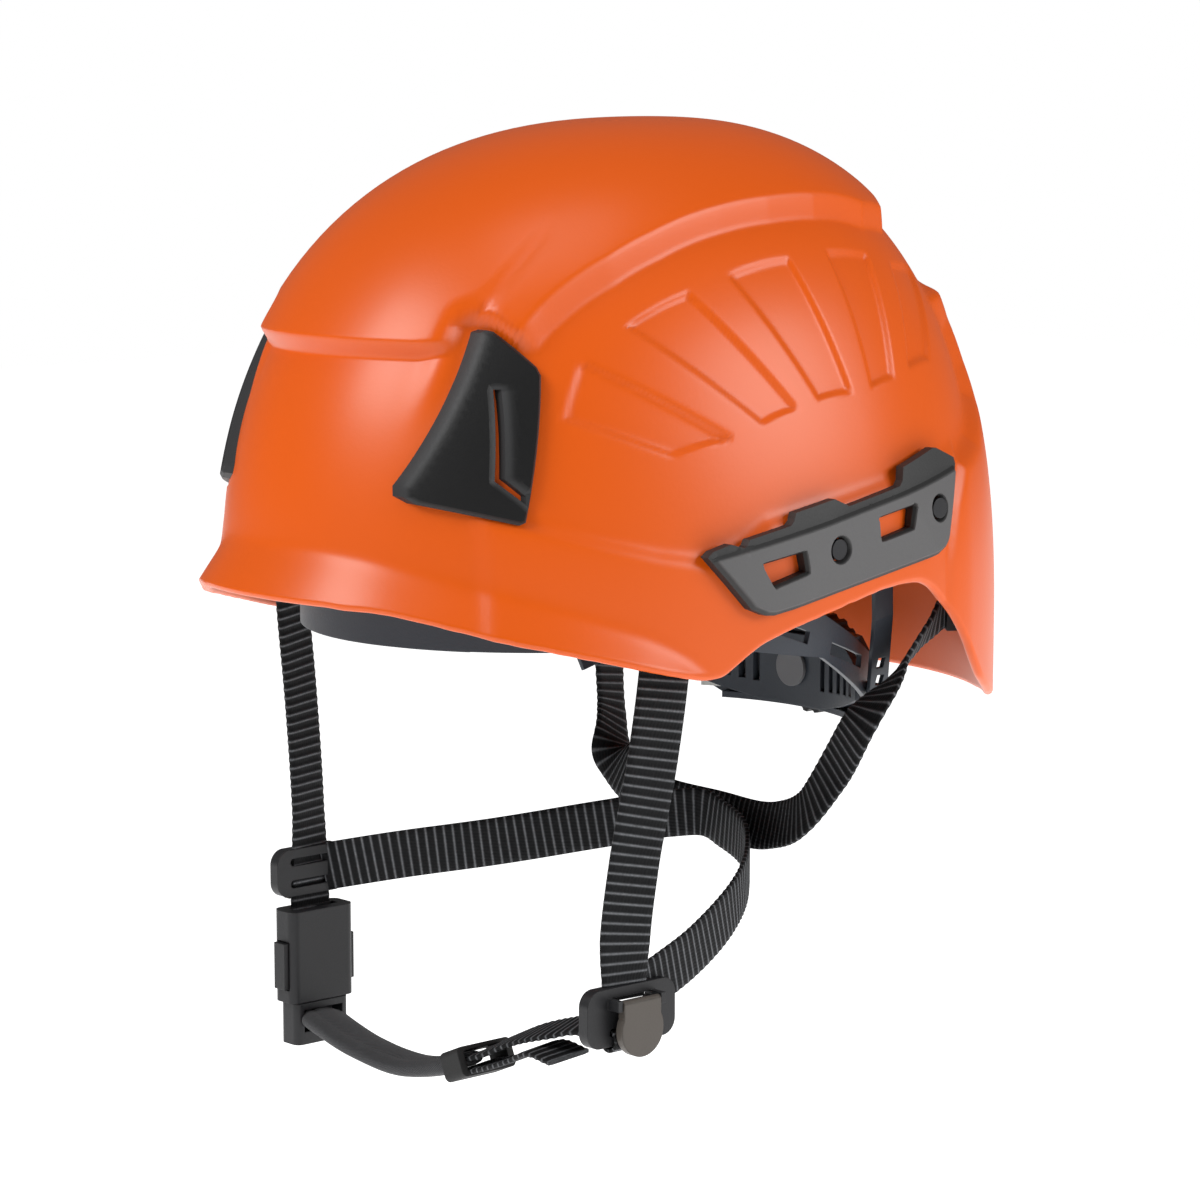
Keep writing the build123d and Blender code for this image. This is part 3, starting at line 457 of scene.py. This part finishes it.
def plate(name, outline, holes, top, bottom, place, chamfer=1.6, hole_chamfer=0.9, step=2.0, ledge=None):
    """Closed plate over a flat chart: the outline less its holes is filled with triangles; its top and
    bottom are two height functions of the chart, joined by walls. Chamfers are part of the top, and so is
    a ledge: what lies above its line from one point to another counts as border."""
    rings = [ring_points(outline, 0, step / 2)] + [ring_points(h, 0, step / 2) for h in holes]
    inner = [ring_points(outline, chamfer, step / 2)] + [ring_points(h, -hole_chamfer, step / 2) for h in holes]
    low, high = rings[0].min(0), rings[0].max(0)
    field = np.stack(np.meshgrid(np.arange(low[0], high[0], step), np.arange(low[1], high[1], step)), -1)
    field = field.reshape(-1, 2)
    inner.append(field[(side_of(*field.T, outline) < -chamfer - step / 3)])
    if ledge is not None:
        start_at, slope = np.array(ledge[0]), np.subtract(ledge[1], ledge[0])
        inner += [start_at + slope * np.linspace(0, 1, int(np.hypot(*slope) / step * 2))[:, None] + (0, lift)
                  for lift in (-0.7, 0.7)]
    extra = np.vstack(inner)
    keep = side_of(*extra.T, outline) < -chamfer * 0.9
    for h in holes:
        keep &= side_of(*extra.T, h) > hole_chamfer * 0.9
    edges, start = [], 0
    for r in rings:
        k = np.arange(len(r)) + start
        edges += np.stack([k, np.roll(k, -1)], -1).tolist()
        start += len(r)
    chart = np.vstack(rings + [extra[keep]])
    made = delaunay_2d_cdt([Vector(p) for p in chart.tolist()], edges, [], 0, 1e-6)
    chart, triangles = np.array([tuple(v) for v in made[0]]), np.array([tuple(f) for f in made[2]])
    middle = chart[triangles].mean(1)
    keep = side_of(*middle.T, outline) < 0
    for h in holes:
        keep &= side_of(*middle.T, h) > 0
    triangles = triangles[keep]
    used, triangles = np.unique(triangles, return_inverse=True)
    chart, triangles = chart[used], triangles.reshape(-1, 3)
    u, v = chart[triangles[:, 1]] - chart[triangles[:, 0]], chart[triangles[:, 2]] - chart[triangles[:, 0]]
    flip = u[:, 0] * v[:, 1] - u[:, 1] * v[:, 0] < 0
    triangles[flip] = triangles[flip][:, ::-1]
    to_edge = -side_of(*chart.T, outline)
    to_hole = np.min([np.full(len(chart), 99.0)] + [side_of(*chart.T, h) for h in holes], 0)
    border = 1 - np.minimum(np.clip(to_edge / chamfer, 0, 1), np.clip(to_hole / hole_chamfer, 0, 1))
    if ledge is not None:
        above = chart[:, 1] - ledge[0][1] - (chart[:, 0] - ledge[0][0]) * slope[1] / slope[0]
        border = np.maximum(border, np.clip(above / 1.4 + 0.5, 0, 1))
    upper = place(chart, top(chart, border))
    lower = place(chart, bottom(chart))
    sides = np.vstack([triangles[:, [0, 1]], triangles[:, [1, 2]], triangles[:, [2, 0]]])
    codes = set(map(tuple, sides.tolist()))
    rim = np.array([s for s in sides.tolist() if (s[1], s[0]) not in codes])
    n = len(chart)
    faces = triangles.tolist() + (triangles[:, ::-1] + n).tolist()
    faces += np.stack([rim[:, 0] + n, rim[:, 1] + n, rim[:, 1], rim[:, 0]], -1).tolist()
    piece = face_mesh(name, np.vstack([upper, lower]) * MM, faces)
    share = piece.data.attributes.new("border", "FLOAT", "POINT")
    share.data.foreach_set("value", np.concatenate([border, np.ones(n)]).astype(np.float32))
    crisp(piece, 25)
    return piece


def crisp(piece, angle):
    """Marks the edges that turn more than an angle in degrees as sharp, turns normals outwards."""
    mesh = bmesh.new()
    mesh.from_mesh(piece.data)
    bmesh.ops.recalc_face_normals(mesh, faces=mesh.faces)
    for side in mesh.edges:
        side.smooth = len(side.link_faces) != 2 or side.calc_face_angle() < np.radians(angle)
    mesh.to_mesh(piece.data)
    mesh.free()


RAIL_OUTLINE = [(-55, 17.5), (-53, 19.2), (-47, 21), (-42.6, 19.6), (-41.6, 20.2), (-40.6, 22), (-25.6, 25.2),
                (-24.4, 26.4), (-23.4, 29), (-8, 32), (-4.4, 30.4), (-2.4, 29.4), (20.4, 33.8), (21.8, 35.4),
                (22.8, 39.5), (39, 44), (41, 43.9), (51.4, 40), (52, 38), (44.4, 15), (42.8, 13), (38, 11),
                (-33, -1.4), (-36, -1.2), (-41, 1)]
SLOTS = [[(-36.9, 14.3), (-21.9, 16.9), (-20.9, 10.9), (-33.2, 7.6)],
         [(10.4, 24.7), (25.9, 27.4), (24.6, 20.6), (11.2, 18.1)]]
RAIL_LEDGE = [(-60, 15.4), (60, 38.8)]
RAIL_SEAT, RAIL_FACE, RAIL_FLAT, RAIL_CHAMFER = 2.3, 6.8, 108.2, 1.5
# Each bore is half a millimetre wider than its screw's head.
screw_points = np.array([v.co for v in nodes["rail_screws"].data.vertices]) / MM
SCREW_HOLES = []
for y, z in ((-7.0, 16.5), (38.5, 25.5)):
    reach = np.hypot(screw_points[:, 1] - y, screw_points[:, 2] - z)
    bore = reach[(reach < 7) & (screw_points[:, 0] > 100)].max() + 0.5
    round_hole = np.linspace(0, 2 * np.pi, 29)[:-1]
    SCREW_HOLES.append(np.stack([y + bore * np.cos(round_hole), z + bore * np.sin(round_hole)], -1).tolist())
rail_finish = Finish("nylon_grey", 0.55)
rail_border = rail_finish.node("ShaderNodeAttribute", {"attribute_name": "border"}, output=2)
rail_speck = rail_finish.noise(1400.0, 2.0)
rail_finish.set(Base_Color=rail_finish.blend(rail_border.soft(0.02, 0.5), (0.078, 0.076, 0.077),
                                             (0.012, 0.012, 0.012)),
                Roughness=0.5 + 0.16 * rail_speck,
                Normal=rail_finish.bump(rail_speck, 0.5, 0.00012))
for side, name in ((1, "accessory_rail_left"), (-1, "accessory_rail_right")):
    def rail_place(chart, x, side=side):
        return np.stack([side * x, chart[:, 0], chart[:, 1]], -1)

    rail = plate(name + "_plate", RAIL_OUTLINE, SLOTS + SCREW_HOLES,
                 lambda c, b: np.minimum(dome_x(*c.T, RAIL_FACE), RAIL_FLAT) - RAIL_CHAMFER * b,
                 lambda c: dome_x(*c.T, RAIL_SEAT), rail_place, ledge=RAIL_LEDGE)
    rail_finish.wear(rail)
    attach(rail, "shell")
    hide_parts(name)

# ------------------------------------------------------------------ vent covers
# Black nylon covers over the front vents, almost flush with the shell, each with an upright slit whose
# edge is bevelled; the elastic of a head lamp is tucked behind it.
VENT_SLIT = [(-103.6, 68), (-101.8, 68), (-105.8, 42), (-101.5, 37), (-101.8, 34.6), (-108.2, 41.5)]
black_finish = Finish("black_nylon", 0.5, Specular_IOR_Level=0.25)
# The border share picks out the bevels round each cover and round its slit. They are painted lighter than the black
# face, a painted highlight on the bevels.
painted_bevel_highlight = black_finish.node("ShaderNodeAttribute", {"attribute_name": "border"}, output=2)
black_speck = black_finish.noise(1600.0, 2.0)
black_finish.set(Base_Color=black_finish.blend(painted_bevel_highlight.soft(0.05, 0.8), (0.006, 0.006, 0.0063),
                                               (0.028, 0.028, 0.029)),
                 Roughness=0.42 + 0.16 * black_speck,
                 Normal=black_finish.bump(black_speck, 0.5, 0.0001))
COVER_FACE, COVER_SEAT, COVER_CHAMFER = 3.1, -0.4, 1.5
for side, name in ((1, "vent_cover_left"), (-1, "vent_cover_right")):
    def cover_place(chart, x, side=side):
        return np.stack([side * x, chart[:, 0], chart[:, 1]], -1)

    cover = plate(name + "_plate", VENT_COVER, [VENT_SLIT],
                  lambda c, b: dome_x(*c.T, COVER_FACE) - COVER_CHAMFER * b,
                  lambda c: dome_x(*c.T, COVER_SEAT), cover_place, chamfer=1.2, hole_chamfer=2.0, step=1.5)
    black_finish.wear(cover)
    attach(cover, "shell")
    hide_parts(name)

# ------------------------------------------------------------------ webbing straps
# Woven polyester webbing, 16 mm wide and 1.5 mm thick, black with a lighter cross rib every 3 mm.
# The front straps hang from anchors inside the shell; the nape and side straps run between the dividers.
def smooth_path(points, step):
    """Points every step along a curve through the given ones, with the shares of its length: cubic pieces
    whose end slopes are the weighted mean of the two chords that meet there."""
    p = np.asarray(points, float)
    chord = np.linalg.norm(np.diff(p, axis=0), axis=1)
    t = np.concatenate([[0], np.cumsum(chord)])
    slope = np.gradient(p, t, axis=0, edge_order=1)
    fine = np.linspace(0, t[-1], int(t[-1] / step) + 2)
    k = np.clip(np.searchsorted(t, fine, "right") - 1, 0, len(chord) - 1)
    w = chord[k][:, None]
    u = (fine - t[k])[:, None] / w
    line = ((2 * u ** 3 - 3 * u ** 2 + 1) * p[k] + (u ** 3 - 2 * u ** 2 + u) * w * slope[k]
            + (3 * u ** 2 - 2 * u ** 3) * p[k + 1] + (u ** 3 - u ** 2) * w * slope[k + 1])
    return line, fine / t[-1], t / t[-1]


def carried(points, across, step, profile):
    """Grid of a closed profile carried along a smooth path; profile(along) gives the (wide, thick) offsets
    of every row. The width direction turns evenly between the given ones."""
    line, share, knots = smooth_path(points, step)
    ahead = np.gradient(line, axis=0)
    ahead /= np.linalg.norm(ahead, axis=1, keepdims=True)
    wide = np.stack([np.interp(share, knots, np.asarray(across, float)[:, i]) for i in range(3)], -1)
    wide -= ahead * np.sum(wide * ahead, -1, keepdims=True)
    wide /= np.linalg.norm(wide, axis=1, keepdims=True)
    out = np.cross(ahead, wide)
    along = np.concatenate([[0], np.cumsum(np.linalg.norm(np.diff(line, axis=0), axis=1))])
    offsets = profile(along)
    return line[:, None] + wide[:, None] * offsets[..., :1] + out[:, None] * offsets[..., 1:], along


RIB_PITCH, RIB_HEIGHT = 3.0, 0.13
WEBBING_WIDTH, WEBBING_THICK, WEBBING_STEP = 16.0, 1.5, 0.45


def webbing_profile(width, thick):
    """Rounded rectangle of 22 points whose broad faces rise and fall by a rounded rib along the strap."""
    half = np.linspace(-1, 1, 9)
    u = np.concatenate([half, [1.0, 1.0], half[::-1], [-1.0, -1.0]]) * (width / 2)
    u[[8, 11]] *= 0.985
    u[[19, 0]] *= 0.985
    v = np.concatenate([np.ones(9), [0.35, -0.35], -np.ones(9), [-0.35, 0.35]]) * (thick / 2)
    v[[0, 8, 11, 19]] *= 0.8

    def at(along):
        from_end = np.minimum(along, along[-1] - along)
        rib = RIB_HEIGHT * np.cos(2 * np.pi * along / RIB_PITCH) * np.clip(from_end / 2, 0, 1)
        flat = np.broadcast_to(np.stack([u, v], -1), (len(along), len(u), 2)).copy()
        flat[..., 1] += np.sign(v) * (np.abs(v) > 0.3 * thick) * rib[:, None]
        return flat
    return at


def mark_weave(piece, along, columns):
    """Stores along the strap, in rib pitches, and round its profile, in millimetres, as an attribute."""
    field = np.zeros((len(along), columns, 3), np.float32)
    field[..., 0] = (along / RIB_PITCH)[:, None]
    field[..., 1] = np.arange(columns)[None] * 2.0
    flat = np.vstack([field.reshape(-1, 3), field[0, :1], field[-1, :1]])
    made = piece.data.attributes.new("weave", "FLOAT_VECTOR", "POINT")
    made.data.foreach_set("vector", flat.ravel())


webbing_finish = Finish("woven_webbing", 0.75, Specular_IOR_Level=0.2, Sheen_Weight=0.02, Sheen_Roughness=0.5)
weave = webbing_finish.node("ShaderNodeAttribute", {"attribute_name": "weave"}, output=1)
weave_parts = webbing_finish.node("ShaderNodeSeparateXYZ", {}, {0: weave})
weave_along = Sock(webbing_finish, weave_parts.socket.node.outputs[0])
weave_round = Sock(webbing_finish, weave_parts.socket.node.outputs[1])


def wave(finish, value):
    """Cosine of a value in turns, brought to 0..1."""
    return finish.node("ShaderNodeMath", {"operation": "COSINE"}, {0: value * 6.28318}) * 0.5 + 0.5


rib_line = wave(webbing_finish, weave_along) ** 7.0
yarn = wave(webbing_finish, weave_round * 0.9 + weave_along * 0.5)
fuzz = webbing_finish.noise(700.0, 3.0)
webbing_finish.set(
    Base_Color=webbing_finish.blend(rib_line * (0.35 + fuzz * 0.9), (0.004, 0.0043, 0.005), (0.15, 0.155, 0.165)),
    Roughness=0.62 + 0.25 * fuzz,
    Normal=webbing_finish.bump(rib_line * 0.6 + yarn * 0.35 + fuzz * 0.25, 0.7, 0.0003))


def strap(name, body, stations, node):
    """Webbing strap through stations, each a point and its width direction, standing for its CAD node."""
    grid, along = carried([p for p, _ in stations], [a for _, a in stations], WEBBING_STEP,
                          webbing_profile(WEBBING_WIDTH, WEBBING_THICK))
    piece = grid_mesh(name, grid * MM, wrap_columns=True, caps=True)
    mark_weave(piece, along, grid.shape[1])
    crisp(piece, 70)
    webbing_finish.wear(piece)
    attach(piece, body)
    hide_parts(node)


LEFT_FRONT = [(85, -57, 6), (84, -58, -16), (83, -62, -45), (81, -68, -78), (80.5, -71, -100), (80.5, -71.5, -118)]
RIGHT_FRONT = [(-81.6, -73, 6), (-81.6, -72, -12), (-81.5, -69, -45), (-80, -67.5, -85), (-79.5, -67.5, -119.5)]
strap("front_webbing_left", "shell",
      [(p, (0.4, 0.9, 0)) for p in LEFT_FRONT[:-1]] + [(LEFT_FRONT[-1], (0, 1, 0))], node="front_strap_left")
strap("front_webbing_right", "shell",
      [(p, (-0.24, 0.97, 0)) for p in RIGHT_FRONT[:-1]] + [(RIGHT_FRONT[-1], (0, 1, 0))], node="front_strap_right")
strap("nape_webbing", "shell", [
    ((81, 71, -9), (0.1, 0, 1)), ((84.5, 56, -18), (0.6, -0.4, 0.6)), ((85, 44, -28), (0.6, -0.7, 0.1)),
    ((86, 26, -42), (0.95, -0.2, -0.2)), ((75, 24.5, -60), (0.9, -0.2, -0.35)), ((62, 23.5, -76), (0.6, -0.4, -0.6)),
    ((42, 29.5, -84), (0.2, -0.4, -0.9)), ((8, 37, -86.5), (0, -0.2, -1)), ((-32, 40, -84.5), (0.2, -0.2, -1)),
    ((-57, 50, -77), (0.6, -0.5, -0.6)), ((-69, 59, -64), (0.3, -0.9, -0.1)), ((-73, 61.5, -48), (0.24, -0.97, 0)),
    ((-75.5, 65, -22), (0.24, -0.97, 0)), ((-79.5, 68, -4), (0.4, -0.9, 0))], node="nape_strap")
SIDE_STRAP = [(-79.2, -62, -104), (-61, -47, -99.5), (-39, -19, -95), (-15, 8, -89), (-2, 25, -86), (6, 32.4, -85.5),
              (16, 31, -87.5), (32, 25, -90), (50, 10, -95), (66, -12, -101), (75, -38, -110), (79.5, -60, -116)]
strap("side_webbing", "shell", [(p, (0, 0, 1)) for p in SIDE_STRAP], node="side_strap")
chin_line = [(16.2, -78, -148), (28, -78, -142.5), (43, -77, -135.5), (60, -76, -130), (69, -74, -127.5),
             (76.9, -70.6, -128.4)]
strap("chin_webbing_run", "chin_strap", [(p, (0, 1, 0.25 if 20 < p[0] < 72 else 0)) for p in chin_line],
      node="chin_webbing")
loose_end = [(17.5, -78, -151), (30, -78.5, -147), (44, -79.5, -141.5), (54, -80.5, -137), (66, -81, -137.5)]
strap("webbing_tail", "chin_strap", [(p, (0, 1, 0.1)) for p in loose_end], node="webbing_end")

# The chin webbing goes round the lower left divider's bottom bar and back on itself.
LOOP_R, LOOP_STEPS, LOOP_AXIS = 3.25, 48, (80.5, -70.0, -130.1)
loop_turn = np.linspace(0, 2 * np.pi, LOOP_STEPS + 1)[:-1]
loop_out = np.stack([np.cos(loop_turn), 0 * loop_turn, np.sin(loop_turn)], -1)
loop_path = np.array(LOOP_AXIS) + loop_out * LOOP_R
loop_thick = loop_out * 0.5
loop_across = np.stack([np.zeros(9), np.linspace(-7.9, 7.9, 9), np.zeros(9)], -1)
outer_loop = (loop_path + loop_thick)[:, None] + loop_across
inner_loop = (loop_path - loop_thick)[:, None] + loop_across[::-1]
loop_grid = np.concatenate([outer_loop, inner_loop], 1)
loop = grid_mesh("webbing_loop", loop_grid * MM, wrap_rows=True, wrap_columns=True)
mark = loop.data.attributes.new("weave", "FLOAT_VECTOR", "POINT")
loop_weave = np.zeros((LOOP_STEPS, 18, 3), np.float32)
loop_weave[..., 0] = (np.arange(LOOP_STEPS) / 6.0)[:, None]
loop_weave[..., 1] = np.arange(18) * 2.0
mark.data.foreach_set("vector", loop_weave.ravel())
crisp(loop, 50)
webbing_finish.wear(loop)
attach(loop, "chin_strap")

# ------------------------------------------------------------------ chin sleeve
# A soft woven tube, pressed flat, that the chin webbing passes through; one seam runs along its front.
sleeve_finish = Finish("sleeve_cloth", 0.85, Sheen_Weight=0.1)
sleeve_mark = sleeve_finish.node("ShaderNodeAttribute", {"attribute_name": "weave"}, output=1)
sleeve_parts = sleeve_finish.node("ShaderNodeSeparateXYZ", {}, {0: sleeve_mark})
thread = wave(sleeve_finish, Sock(sleeve_finish, sleeve_parts.socket.node.outputs[0]) * 2.0
              + Sock(sleeve_finish, sleeve_parts.socket.node.outputs[1]) * 0.6)
sleeve_fuzz = sleeve_finish.noise(500.0, 4.0)
sleeve_finish.set(Base_Color=sleeve_finish.blend(thread * (0.3 + sleeve_fuzz * 0.7), (0.012, 0.012, 0.014),
                                                 (0.045, 0.046, 0.05)),
                  Roughness=0.75 + 0.2 * sleeve_fuzz,
                  Normal=sleeve_finish.bump(thread * 0.5 + sleeve_fuzz * 0.5, 0.8, 0.0003))
SLEEVE = [(-74.5, -68.5, -152.8), (-60, -73, -153.5), (-38, -77, -155.5), (-10, -78, -156), (5, -78, -152.5),
          (14, -78, -149)]
SLEEVE_HALF_WIDTH, SLEEVE_HALF_THICK, OVAL_SHARE, SEAM_AT = 7.7, 3.1, 0.77, 1.9
around = np.linspace(0, 2 * np.pi, 41)[:-1]


def sleeve_profile(along):
    """Flattened oval of power 2.6 with a groove at its front seam; it narrows a little at both ends."""
    ends = ease(np.minimum(along, along[-1] - along), -2, 7)[:, None]
    u = np.sign(np.cos(around)) * np.abs(np.cos(around)) ** OVAL_SHARE * SLEEVE_HALF_WIDTH * (0.82 + 0.18 * ends)
    v = np.sign(np.sin(around)) * np.abs(np.sin(around)) ** OVAL_SHARE * SLEEVE_HALF_THICK * (0.72 + 0.28 * ends)
    v = v + 0.12 * np.sin(along / 5.1)[:, None] * np.cos(3 * around)
    seam = np.exp(-((around - SEAM_AT) / 0.12) ** 2) * 0.5
    return np.stack([u, v - seam * np.sign(v)], -1)


sleeve_grid, sleeve_along = carried(SLEEVE, [(0, 1, 0)] * len(SLEEVE), 1.0, sleeve_profile)
sleeve = grid_mesh("chin_sleeve_tube", sleeve_grid * MM, wrap_columns=True, caps=True)
mark_weave(sleeve, sleeve_along, sleeve_grid.shape[1])
crisp(sleeve, 80)
sleeve_finish.wear(sleeve)
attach(sleeve, "chin_strap")
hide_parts("chin_sleeve")

# ------------------------------------------------------------------ brow pad and crown pad
# Foam in a knitted cover: the brow pad is quilted in three cells and clips inside the headband's front;
# the crown pad is a ring that rests against the liner.
pad_finish = Finish("knit_cover", 0.9, Sheen_Weight=0.15)
knit = pad_finish.node("ShaderNodeTexVoronoi", {"feature": "F1"}, {"Vector": pad_finish.place(), "Scale": 900.0})
pad_finish.set(Base_Color=pad_finish.blend(knit.soft(0.1, 0.7), (0.02, 0.02, 0.023), (0.05, 0.05, 0.056)),
               Roughness=0.8 + 0.15 * knit, Normal=pad_finish.bump(knit, 0.8, 0.0004))
PAD_ROWS, PAD_REACH, PAD_HALF_THICK, PAD_HALF_TALL = 110, 79.85, 1.9, 14.3
pad_turn = np.radians(np.linspace(237, 303, PAD_ROWS))
round_pad = np.linspace(0, 2 * np.pi, 37)[:-1]
share = np.linspace(0, 1, PAD_ROWS)
cell = 1 - 0.45 * np.exp(-((share[:, None] - np.array([0.333, 0.667])) / 0.018) ** 2).sum(1)
end = np.clip(np.minimum(share, 1 - share) / 0.06, 0, 1) ** 0.5
deep = PAD_HALF_THICK * np.sign(np.cos(round_pad)) * np.abs(np.cos(round_pad)) ** 0.6
tall = PAD_HALF_TALL * np.sign(np.sin(round_pad)) * np.abs(np.sin(round_pad)) ** 0.6
puffed = (cell * (0.3 + 0.7 * end))[:, None] * (1 - 0.35 * np.abs(tall / PAD_HALF_TALL) ** 3)
reach = PAD_REACH + deep[None] * puffed
front = reach + 19
pad_points = np.stack([reach * np.cos(pad_turn)[:, None], -10 + front * np.sin(pad_turn)[:, None],
                       0.5 + tall[None] * (0.55 + 0.45 * end)[:, None] + 0 * reach], -1)
brow = grid_mesh("brow_pad_quilt", pad_points * MM, wrap_columns=True, caps=True)
crisp(brow, 80)
pad_finish.wear(brow)
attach(brow, "headband")
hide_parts("brow_pad")
RING_HALF_X, RING_HALF_Y, RING_HALF_WIDE, RING_HALF_THICK = 34, 49, 11.6, 2.2
LINER_TOP, LINER_SIDE, LINER_REAR, LINER_FRONT = 136.8, 80, 88, 129
ring_turn = np.linspace(0, 2 * np.pi, 121)[:-1]
cross = np.linspace(0, 2 * np.pi, 33)[:-1]
across_pad = RING_HALF_WIDE * np.sign(np.cos(cross)) * np.abs(np.cos(cross)) ** 0.6
puff = RING_HALF_THICK * np.sign(np.sin(cross)) * np.abs(np.sin(cross)) ** 0.7
puff = puff * (1 - 0.3 * np.exp(-((np.degrees(ring_turn)[:, None] % 60 - 30) / 3.0) ** 2))
crown_x = (RING_HALF_X + across_pad) * np.cos(ring_turn)[:, None]
crown_y = (RING_HALF_Y + across_pad * 1.08) * np.sin(ring_turn)[:, None]
crown_plan = (np.abs(crown_x / LINER_SIDE) ** PLAN_POWER
              + np.abs(crown_y / np.where(crown_y > 0, LINER_REAR, LINER_FRONT)) ** PLAN_POWER)
crown_level = crown_plan ** (SIDE_POWER / PLAN_POWER)
crown_z = DOME_Z + LINER_TOP * (1 - crown_level) ** (1 / SIDE_POWER) + puff
crown_pad = grid_mesh("crown_pad_ring", np.stack([crown_x, crown_y + DOME_Y, crown_z], -1) * MM,
                      wrap_rows=True, wrap_columns=True)
crisp(crown_pad, 80)
pad_finish.wear(crown_pad)
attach(crown_pad, "shell")
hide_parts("crown_pad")

# ------------------------------------------------------------------ moulded plastic and metal pieces
# Buckle, dividers, anchors, nape cradle and headband are nylon mouldings with softened edges; the liner
# is expanded foam, the screws and spring are steel.
ETCH_SCALE = 1300.0


def moulded(name, low, high, rough, edge=0.0005, metal=0.0):
    """Moulded plastic between two colours, finely etched, with its edges rounded in the shading."""
    made = Finish(name, rough, metal, Specular_IOR_Level=0.3)
    etch = made.noise(ETCH_SCALE, 2.0)
    soft_edge = made.node("ShaderNodeBevel", {"samples": 4}, {"Radius": edge})
    normal = made.node("ShaderNodeBump", {}, {"Height": etch, "Strength": 0.4, "Distance": 0.0001,
                                              "Normal": soft_edge})
    return made.set(Base_Color=made.blend(made.noise(40.0), low, high),
                    Roughness=rough - 0.06 + 0.14 * etch, Normal=normal)


black_moulding = moulded("black_moulding", (0.012, 0.012, 0.013), (0.018, 0.018, 0.02), 0.42)
slate_moulding = moulded("slate_moulding", (0.028, 0.033, 0.042), (0.036, 0.042, 0.052), 0.42)
hub_moulding = moulded("hub_moulding", (0.12, 0.12, 0.125), (0.14, 0.14, 0.145), 0.5)
lever_moulding = moulded("lever_moulding", (0.07, 0.06, 0.052), (0.082, 0.072, 0.062), 0.45, 0.0009)
white_moulding = moulded("white_moulding", (0.5, 0.5, 0.48), (0.58, 0.58, 0.55), 0.45, 0.0002)
rubber = moulded("keeper_rubber", (0.014, 0.014, 0.014), (0.022, 0.022, 0.022), 0.7, 0.0007)
steel = moulded("blued_steel", (0.03, 0.03, 0.032), (0.05, 0.05, 0.052), 0.35, 0.0003, 0.8)
foam_finish = Finish("bead_foam", 0.9)
beads = foam_finish.node("ShaderNodeTexVoronoi", {"feature": "DISTANCE_TO_EDGE"},
                         {"Vector": foam_finish.place(), "Scale": 330.0})
foam_finish.set(Base_Color=foam_finish.blend(beads.soft(0.0, 0.12), (0.03, 0.03, 0.033), (0.085, 0.085, 0.09)),
                Normal=foam_finish.bump(beads.soft(0.0, 0.2), 0.5, 0.0004))
foam_finish.wear("impact_liner")
for finish, names in (
        (black_moulding, ["pivot_clip_left", "pivot_clip_right", "hanger_guide_left", "hanger_guide_right",
                          "front_anchor_left", "front_anchor_right", "rear_keeper_left", "rear_keeper_right",
                          "divider_left", "divider_right", "buckle_socket", "buckle_tongue",
                          "release_button_front", "release_button_rear", "size_wheel"]),
        (slate_moulding, ["headband", "nape_cradle", "nape_hanger_left", "nape_hanger_right", "wheel_housing"]),
        (hub_moulding, ["hub_cap"]), (lever_moulding, ["divider_lever_left", "divider_lever_right"]),
        (white_moulding, ["pinion", "rack_left", "rack_right"]), (rubber, ["strap_keeper"]),
        (steel, ["rail_screws", "click_spring", "wheel_screw"])):
    for name in names:
        finish.wear(name)
